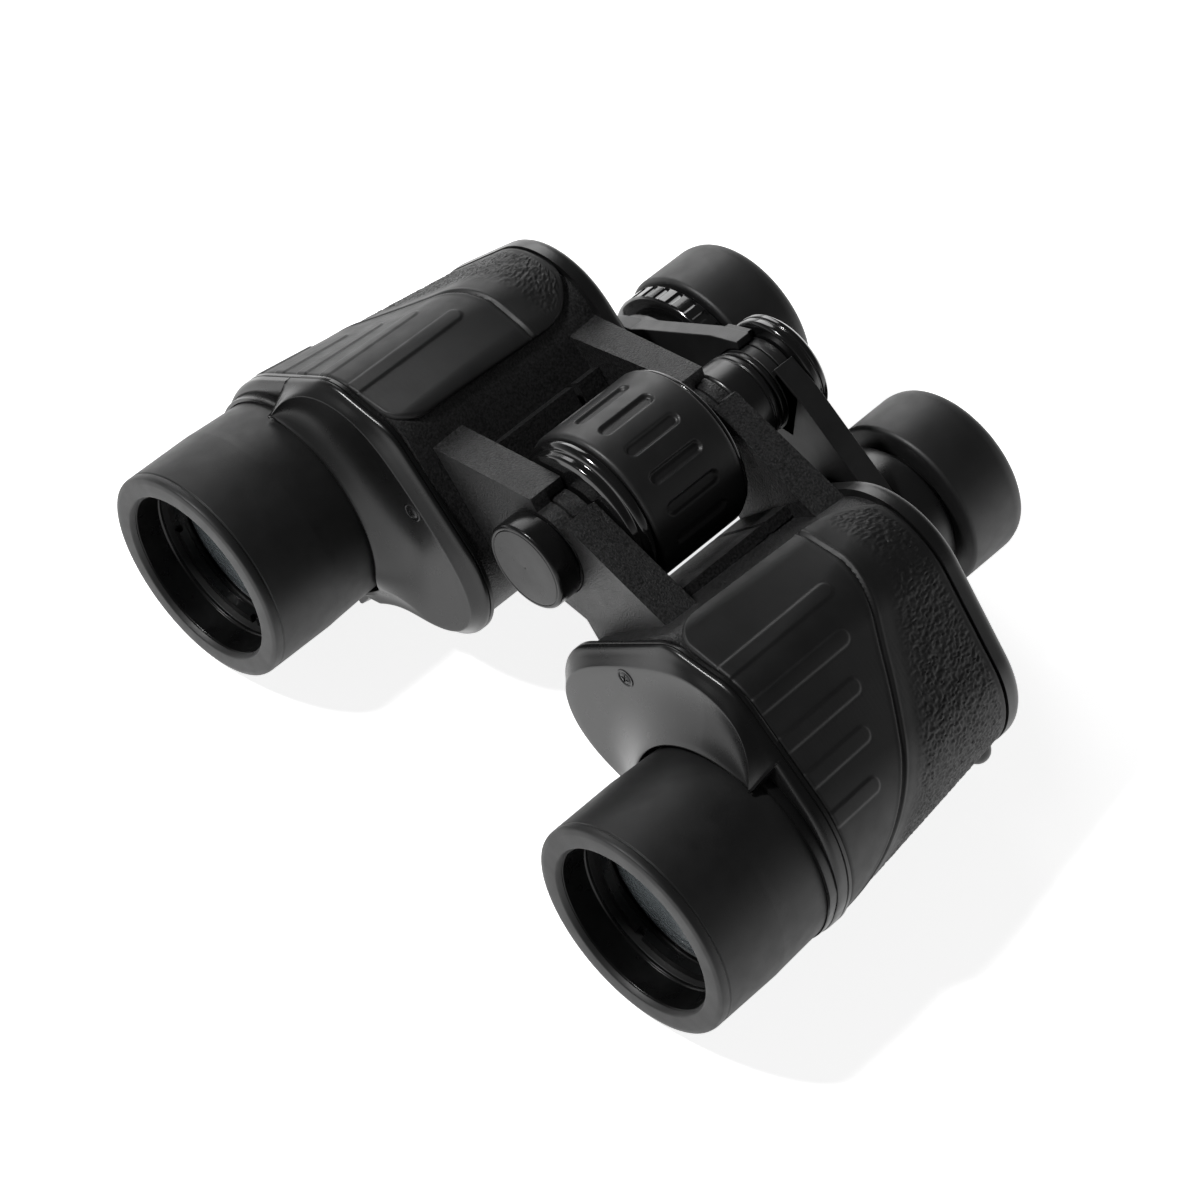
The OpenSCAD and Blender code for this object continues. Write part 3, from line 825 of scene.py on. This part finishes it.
def screws_shape():
    """Domed heads with a cross recess, each in a narrow dark groove with a raised rim."""
    shape = Shape()
    turn = np.linspace(0, FULL_TURN, 96, endpoint=False)
    spots = [(c, COVER_FACE, -1) for c in FRONT_SCREWS] + [(c, COVER_REAR, 1) for c in REAR_SCREWS]
    for centre, face, way in spots:
        rows = []
        for r in HEAD_RINGS:
            dome = SCREW_DOME * (1 - (r / SCREW_HEAD_R) ** 4)
            u = r * np.cos(turn)
            v = r * np.sin(turn)
            cross = np.minimum(np.abs(u), np.abs(v)) < CROSS_HALF_WIDTH
            sink = CROSS_DEPTH * (cross & (r < CROSS_REACH))
            rows.append(np.stack([centre[0] + u, face + way * (dome - sink), centre[1] + v], -1))
        shape.grid(np.array(rows), close_columns=True)
        turned(shape, [(r, face + way * out) for r, out in GROOVE_RIM], centre, 64)
    return shape


both_halves(screws_shape(), "cover_screw_heads", SCREW.material, "screw_steel", "cover_screws", sharp=40)


# ---- Rear covers ---------------------------------------------------------

# The rounded rear edge, [growth of the outline, depth], from the armour to the flat back
REAR_EDGE = [
    (0.0, 95.58), (0.0, 97.4), (-0.06, 98.2), (-0.28, 98.9), (-0.7, 99.5), (-1.3, 99.88), (-2.2, COVER_REAR),
]
REAR_BORE_R = 17.1
BOSS_R = 18.8
BOSS_FOOT_R = BOSS_R + 1.2
BOSS_REAR = 104.4

# The strap eye: centre, middle radius, half thickness across and along, and depth
STRAP_EYE = (76.5, -48.5)
STRAP_EYE_R = 3.65
STRAP_EYE_T = (1.35, 1.9)
STRAP_EYE_Y = 97.6


def rear_cover_shape():
    """The rear cover with its open bore, the guide boss of the eyepiece, and a strap eye."""
    shape = Shape()
    angles = np.linspace(0, FULL_TURN, 420, endpoint=False)
    rings = []
    for grow, y in REAR_EDGE:
        ring = ring_at(HOUSING_REAR, angles, grow)
        ring[:, 1] = y
        rings.append(ring)
    bore_x = EYEPIECE[0] + REAR_BORE_R * np.cos(angles)
    bore_z = EYEPIECE[1] + REAR_BORE_R * np.sin(angles)
    bore = np.stack([bore_x, np.full_like(angles, COVER_REAR), bore_z], -1)
    flat = rings[-1]
    for share in (0.66, 0.33, 0.0):
        rings.append(flat * share + bore * (1 - share))
    rings.append(bore - [0, COVER_REAR - REAR_EDGE[0][1], 0])
    shape.grid(np.array(rings), close_rows=True, close_columns=True)
    boss = [
        (REAR_BORE_R, 96), (BOSS_FOOT_R, 96), (BOSS_FOOT_R, COVER_REAR + 0.5), (BOSS_R, COVER_REAR + 1.5),
        (BOSS_R, BOSS_REAR), (REAR_BORE_R, BOSS_REAR),
    ]
    turned(shape, rounded(boss, 0.6), EYEPIECE)
    across, along = STRAP_EYE_T
    eye = [
        (STRAP_EYE_R + across * math.cos(a), STRAP_EYE_Y + along * math.sin(a))
        for a in np.linspace(0, FULL_TURN, 20, endpoint=False)
    ]
    turned(shape, eye, STRAP_EYE, 72)
    return shape


both_halves(
    rear_cover_shape(), "rear_cover_casting", REAR_COVER.material, "rear_cover_satin", "rear_cover",
    sharp=45,
)


# ---- Objectives ----------------------------------------------------------

# Closed profiles, [radius, depth], and the radius, front and rear of the dark disc behind the lens, a
# painted shade that closes the tube where the housing's inside lies in shade
BARREL_PROFILE = [
    (20.7, 1.3), (21.4, 0.02), (24.9, 0.02), (26.0, 0.35), (26.2, 1.1), (26.2, 2.1), (25.95, 2.25),
    (25.95, 2.5), (26.2, 2.65), (26.2, 18.5), (26.05, 20.5), (25.4, 33), (25.4, 38.3), (22.5, 38.3),
    (22.5, 20), (18.6, 19.8), (18.6, 18.5), (20.3, 18.4), (20.3, 8.6), (20.7, 8.2),
]
LINER_PROFILE = [
    (20.95, 1.15), (20.6, 1.5), (20.6, 7.6), (20.25, 7.9), (20.25, 8.5), (20.55, 8.8), (20.55, 9.9),
    (20.68, 9.9), (20.72, 1.15),
]
LENS_SEATS = (12.6, 14.2)
PAINTED_SHADE_DISC = (22.4, 37.5, 38.2)
LENS_GAP = 0.02
LENS_CURVE = 180.0


def barrel_shape():
    """The objective's tube, with a fine groove behind its rolled rim and a shoulder inside."""
    shape = Shape()
    turned(shape, rounded(BARREL_PROFILE, 0.3, 3), OBJECTIVE, 200)
    return shape


def liner_shape():
    """The blackened inside of an objective: its steps, the lens's seat, and behind them a dark disc of
    painted shade in place of the housing's shaded inside.
    """
    shape = Shape()
    turned(shape, rounded(LINER_PROFILE, 0.12, 2), OBJECTIVE, 200)
    for seat in LENS_SEATS:
        profile = [(20.2, seat), (19.2, seat + 0.1), (19.2, seat + 0.7), (20.2, seat + 0.8)]
        turned(shape, profile, OBJECTIVE, 120)
    # A dark disc of painted shade closes the tube, standing in for the shaded inside of the housing
    plain_ring(shape, AXIS_R, *PAINTED_SHADE_DISC, centre=OBJECTIVE, count=96)
    return shape


def lens_shape():
    """The objective lens, domed at the front and flat at the rear."""
    shape = Shape()
    edge_r = LENS_R - LENS_GAP
    rear = LENS_REAR - LENS_GAP
    domed = [(r, LENS_FRONT + LENS_GAP + r * r / LENS_CURVE) for r in np.linspace(AXIS_R, edge_r, 14)]
    turned(shape, domed + [(edge_r, rear), (AXIS_R, rear)], OBJECTIVE, 200)
    return shape


both_halves(lens_shape(), "front_lens", LENS.material, "coated_glass", "objective_lens")
for side in ("left", "right"):
    finish_mesh(
        liner_shape(), f"{side}_objective_liner", INNER.material, f"{side}_half", "inner_black",
        mirror=side == "right",
    )
both_halves(barrel_shape(), "objective_tube", BARREL.material, "barrel_matte", "objective_barrel", sharp=40)


# ---- Eyepieces -----------------------------------------------------------

EYECUP_PROFILE = [
    (15.05, EYECUP_FRONT + 0.05), (20.4, EYECUP_FRONT + 0.05), (21.1, 124.1), (21.1, 137.8), (20.5, 139.8),
    (19.4, 140.9), (18.2, 140.9), (17.5, 139.8), (16.9, 137), (16.2, 133.6), (15.05, 133.6),
]
LEFT_TUBE_PROFILE = [
    (13.4, 95.7), (17, 95.7), (17, 113.2), (16.6, 113.4), (16.6, 114.2), (17, 114.4), (17, 121.6),
    (16.2, 122.2), (15, 123.0), (15, 133), (8.2, 133), (8.2, 130), (13.4, 130),
]

# The dioptre ring: [radius, depth] of its plain front, its notched middle and its plain rear
DIOPTRE_FRONT = [(15.1, 117), (19.2, 117), (19.7, 117.3), (19.95, 117.8)]
DIOPTRE_MIDDLE = [(19.95, 118.1), (19.95, 121.9)]
DIOPTRE_BACK = [(19.95, 122.2), (19.6, 122.8), (19.2, 122.95), (15.1, 122.95)]
NOTCHES = 30
NOTCH_STEPS = 12
NOTCH_DEPTH = 0.55


def eyecup_shape():
    """A rubber eyecup with a rounded lip."""
    shape = Shape()
    turned(shape, rounded(EYECUP_PROFILE, 0.8), EYEPIECE, 200)
    return shape


def left_tube_shape():
    """The left eyepiece's tube, with a fine groove, and a step where the eyecup sits."""
    shape = Shape()
    turned(shape, rounded(LEFT_TUBE_PROFILE, 0.25, 3), EYEPIECE)
    return shape


def dioptre_shape():
    """A ring with grip notches all round."""
    turn = np.linspace(0, FULL_TURN, NOTCHES * NOTCH_STEPS, endpoint=False)
    phase = np.mod(turn * NOTCHES / FULL_TURN, 1)
    notch = NOTCH_DEPTH * (1 - smooth_step(np.abs(phase - 0.5), 0.14, 0.24))
    notched = [(r - notch, y) for r, y in DIOPTRE_MIDDLE]
    rows = []
    for radius, y in DIOPTRE_FRONT + notched + DIOPTRE_BACK:
        x = EYEPIECE[0] + radius * np.cos(turn)
        z = EYEPIECE[1] + radius * np.sin(turn)
        rows.append(np.stack([x, 0 * turn + y, z], -1))
    shape = Shape()
    shape.grid(np.array(rows), close_rows=True, close_columns=True)
    return shape


finish_mesh(
    eyecup_shape(), "left_eyecup_rubber", EYECUP.material, "left_eyepiece", "eyecup_rubber", ["left_eyecup"],
)
finish_mesh(
    eyecup_shape(), "right_eyecup_rubber", EYECUP.material, "right_ocular", "eyecup_rubber",
    ["right_eyecup"], mirror=True,
)
finish_mesh(
    left_tube_shape(), "left_eyepiece_barrel", TUBE.material, "left_eyepiece", "tube_coat",
    ["left_eyepiece_tube"],
)
finish_mesh(
    dioptre_shape(), "dioptre_grip_ring", GLOSS.material, "dioptre_ring", "wheel_gloss", ["dioptre_ring"],
    mirror=True,
)


# ---- Bridge --------------------------------------------------------------

# Outlines in x and z of a bridge arm, from the hub to the eyepiece, and of its lug's root
BRIDGE_OUTLINE = [
    (5.6, 10.9), (13.3, 7.2), (34, -6.8), (46, -16), (40, -28), (20, -36), (14.5, -22), (9.5, -15.5),
    (5.6, -9),
]
LUG_ROOT = [(5.6, 8), (6.2, 10.4), (13, 6.9), (12.5, -5.6), (8, -6)]
LUG_R = 10.0
LUG_BORE_R = 7.05
LUG_POCKET_R = 10.35
CLAMP_R = 19.0
CLAMP_BORE_R = 17.02
BRIDGE_MID = (BRIDGE_FRONT + BRIDGE_REAR) / 2
LUG_GAP = 0.15
RIGHT_BAR_T = 4.2


def pocketed(outline, radius):
    """A bar's outline where it clears the other half's lug."""
    start = math.atan2(outline[-1][1], outline[-1][0])
    stop = math.atan2(outline[0][1], outline[0][0])
    arc = [(radius * math.cos(a), radius * math.sin(a)) for a in np.linspace(start, stop, 24)]
    return arc + outline


def bridge_arm_shape(lug_front, lug_rear, rear):
    """A flat bar from the hub to the clamp ring round an eyepiece, with a lug over half its width."""
    shape = Shape()
    bar(shape, pocketed(BRIDGE_OUTLINE, LUG_POCKET_R), BRIDGE_FRONT, rear)
    plain_ring(shape, CLAMP_BORE_R, CLAMP_R, BRIDGE_FRONT, rear, centre=EYEPIECE)
    plain_ring(shape, LUG_BORE_R, LUG_R, lug_front, lug_rear, count=96)
    bar(shape, LUG_ROOT, lug_front, lug_rear)
    return shape


finish_mesh(
    bridge_arm_shape(BRIDGE_FRONT, BRIDGE_MID - LUG_GAP, BRIDGE_REAR), "left_bridge_bar", BRIDGE.material,
    "left_eyepiece", "bridge_satin", ["left_bridge_arm"], bevel=0.3,
)
finish_mesh(
    bridge_arm_shape(BRIDGE_MID + LUG_GAP, BRIDGE_REAR, BRIDGE_FRONT + RIGHT_BAR_T), "right_bridge_bar",
    BRIDGE.material, "right_eyepiece", "bridge_satin", ["right_bridge_arm"], mirror=True, bevel=0.3,
)


def round_piece(name, profile, look, body, slot, node, count=160, edge=0.35):
    """A turned piece on the hinge's axis, with softly rounded edges, in place of one CAD node."""
    shape = Shape()
    turned(shape, rounded(profile, edge), count=count)
    finish_mesh(shape, name, look.material, body, slot, [node])


round_piece("focus_guide_sleeve", [
    (7.0, 95.75), (10.0, 95.75), (GUIDE_R, 96.4), (GUIDE_R, 102.6), (10.35, 102.8), (10.35, 103.1),
    (GUIDE_R, 103.3), (GUIDE_R, 104.4), (10.1, 104.95), (7.0, 104.95),
], TUBE, "left_half", "bridge_satin", "focus_guide_tube")
round_piece("bridge_hub_barrel", [
    (5.42, 105.32), (9.9, 105.32), (10.2, 105.6), (10.2, 106.75), (7.0, 106.78), (7.0, 113.98),
    (5.42, 113.98),
], TUBE, "focus_carriage", "bridge_satin", "bridge_hub")
round_piece("bridge_hub_disc", [
    (AXIS_R, 114.02), (6.9, 114.02), (6.9, 113.12), (12.7, 113.12), (13.4, 113.7), (13.4, 114.9),
    (13.1, 115.1), (13.1, 115.4), (13.4, 115.6), (13.4, 116.6), (12.5, 117.5), (9.0, 117.9),
    (AXIS_R, 118.15),
], GLOSS, "focus_carriage", "cap_gloss", "bridge_hub_cap")
round_piece("hinge_end_cap", [
    (AXIS_R, 36.45), (9.3, 36.45), (9.5, 36.62), (9.7, 36.45), (10.2, 36.5), (CAP_R, 37.0), (CAP_R, 42.2),
    (10.2, 42.75), (2.95, 42.8), (2.9, 49.9), (AXIS_R, 50),
], CAP, "hinge_cap", "cap_gloss", "hinge_cap", edge=0.25)


# ---- Focus wheel ---------------------------------------------------------

# Oval slots round the rubber grip, and how far they are turned from the top
SLOTS = 16
SLOT_STEPS = 30
SLOT_START = math.radians(13.2)
SLOT_FRONT = 64.0
SLOT_REAR = 76.0
SLOT_R = 1.6
SLOT_SINK = 0.85
GRIP_BORE_R = 17.62

# The grip's rounded ends, and the distances from an end where its rows of points lie
GRIP_ROUND = 1.0
GRIP_DROP = 0.95
GRIP_EDGE = np.array([0.02, 0.15, 0.45, 0.9])
GRIP_FLAT = 1.4

round_piece("focus_wheel_core", [
    (7.1, WHEEL_FRONT), (16.0, WHEEL_FRONT), (17.4, 53.3), (17.5, 54.9), (18.3, 55.2), (18.9, 56.0),
    (18.9, 57.0), (18.5, 57.6), (17.6, 57.62), (17.6, 84.2), (19.1, 84.25), (18.9, 85.1), (17.1, 86.05),
    (7.1, 86.05), (7.1, 83), (12, 83), (12, 64), (7.1, 64),
], GLOSS, "focus_wheel", "wheel_gloss", "focus_wheel", count=200, edge=0.45)


def grip_shape():
    """The rubber grip: a sleeve with rounded ends and oval slots all round."""
    turn = np.linspace(0, FULL_TURN, SLOTS * SLOT_STEPS, endpoint=False)
    phase = np.mod(turn - SLOT_START + math.pi / SLOTS, FULL_TURN / SLOTS) - math.pi / SLOTS
    depths = np.concatenate([
        GRIP_FRONT + GRIP_EDGE, np.linspace(GRIP_FRONT + GRIP_FLAT, GRIP_REAR - GRIP_FLAT, 96),
        GRIP_REAR - GRIP_EDGE[::-1],
    ])
    sleeve = []
    for y in depths:
        edge = min(y - GRIP_FRONT, GRIP_REAR - y)
        base = GRIP_R - GRIP_DROP * (1 - math.sqrt(1 - max(0, 1 - edge / GRIP_ROUND) ** 2))
        beyond = max(0.0, SLOT_FRONT - y, y - SLOT_REAR)
        away = np.hypot(phase * GRIP_R, beyond)
        sleeve.append((base - SLOT_SINK * (1 - smooth_step(away, SLOT_R - 0.55, SLOT_R + 0.15)), y))
    bore = [(GRIP_BORE_R, depths[-1]), (GRIP_BORE_R, depths[0])]
    rows = [np.stack([r * np.sin(turn), 0 * turn + y, r * np.cos(turn)], -1) for r, y in sleeve + bore]
    shape = Shape()
    shape.grid(np.array(rows), close_rows=True, close_columns=True)
    return shape


finish_mesh(
    grip_shape(), "focus_wheel_rubber", GRIP.material, "focus_wheel", "grip_rubber", ["focus_wheel_grip"],
    sharp=55,
)


# ---- Floor, light and camera ---------------------------------------------

FLOOR_HALF = 6.0
FLOOR_Z = -0.0004

# Brightness of the studio's soft light by height in the sky, 0 level and 1 straight up
SKY_STOPS = ((0.0, 0.75), (0.16, 0.32), (0.42, 0.06))

LAMP_AIM = Vector((0, 0, 0.04))
CAMERA_PLACE = Vector((0.37285, -0.40192, 0.70588))
CAMERA_BACK = Vector((0.4287, -0.4494, 0.7838))
CAMERA_ROLL = math.radians(0.77)
FOCAL_LENGTH = 118.9
SENSOR_WIDTH = 36

PALE = Look("pale_floor", (0.93, 0.93, 0.93), 0.7, Emission_Color=(1, 1, 1, 1), Emission_Strength=0.85)
PALE.tint(PALE.noise(2.5, 2), (0.92, 0.92, 0.92), (0.95, 0.95, 0.95))
PALE.bump(PALE.noise(60, 2), 0.02)
floor_mesh = bpy.data.meshes.new("floor")
floor_corners = [(FLOOR_HALF * x, FLOOR_HALF * y, FLOOR_Z) for x, y in ((-1, -1), (1, -1), (1, 1), (-1, 1))]
floor_mesh.from_pydata(floor_corners, [], [(0, 1, 2, 3)])
floor_mesh.materials.append(PALE.material)
floor = bpy.data.objects.new("floor", floor_mesh)
bpy.context.scene.collection.objects.link(floor)

# The backdrop is plain white to the camera, while the object is lit by the fading studio light
world = bpy.data.worlds.new("studio")
world.use_nodes = True
sky = world.node_tree
ground = sky.nodes["Background"]
direction = sky.nodes.new("ShaderNodeTexCoord").outputs["Generated"]
split = sky.nodes.new("ShaderNodeSeparateXYZ")
sky.links.new(direction, split.inputs["Vector"])
fade = sky.nodes.new("ShaderNodeValToRGB")
stops = fade.color_ramp.elements
stops.new(SKY_STOPS[1][0])
for stop, (height, level) in zip(stops, SKY_STOPS):
    stop.position = height
    stop.color = (level, level, level, 1)
sky.links.new(split.outputs["Z"], fade.inputs["Fac"])
plain = sky.nodes.new("ShaderNodeBackground")
plain.inputs["Color"].default_value = (1, 1, 1, 1)
sky.links.new(fade.outputs["Color"], ground.inputs["Color"])
choose = sky.nodes.new("ShaderNodeMixShader")
sky.links.new(sky.nodes.new("ShaderNodeLightPath").outputs["Is Camera Ray"], choose.inputs["Fac"])
sky.links.new(ground.outputs["Background"], choose.inputs[1])
sky.links.new(plain.outputs["Background"], choose.inputs[2])
sky.links.new(choose.outputs["Shader"], sky.nodes["World Output"].inputs["Surface"])
bpy.context.scene.world = world


def softbox(name, place, size, power):
    """A rectangular light, aimed at the middle of the object."""
    lamp = bpy.data.lights.new(name, "AREA")
    lamp.shape = "RECTANGLE"
    lamp.size, lamp.size_y = size
    lamp.energy = power
    box = bpy.data.objects.new(name, lamp)
    bpy.context.scene.collection.objects.link(box)
    box.location = place
    box.rotation_euler = (Vector(place) - LAMP_AIM).to_track_quat("Z", "Y").to_euler()


softbox("key_left", (-1.05, 0.62, 0.55), (0.5, 0.8), 4.6)
softbox("top_left", (-0.45, -0.47, 0.88), (0.11, 0.11), 9)

lens = bpy.data.cameras.new("camera")
lens.lens = FOCAL_LENGTH
lens.sensor_width = SENSOR_WIDTH
lens.clip_start = 0.01
camera = bpy.data.objects.new("camera", lens)
bpy.context.scene.collection.objects.link(camera)
camera.location = CAMERA_PLACE
aim = CAMERA_BACK.to_track_quat("Z", "Y").to_matrix()
camera.rotation_euler = (aim @ Matrix.Rotation(CAMERA_ROLL, 3, "Z")).to_euler()
bpy.context.scene.camera = camera
bpy.context.scene.view_settings.view_transform = "Standard"
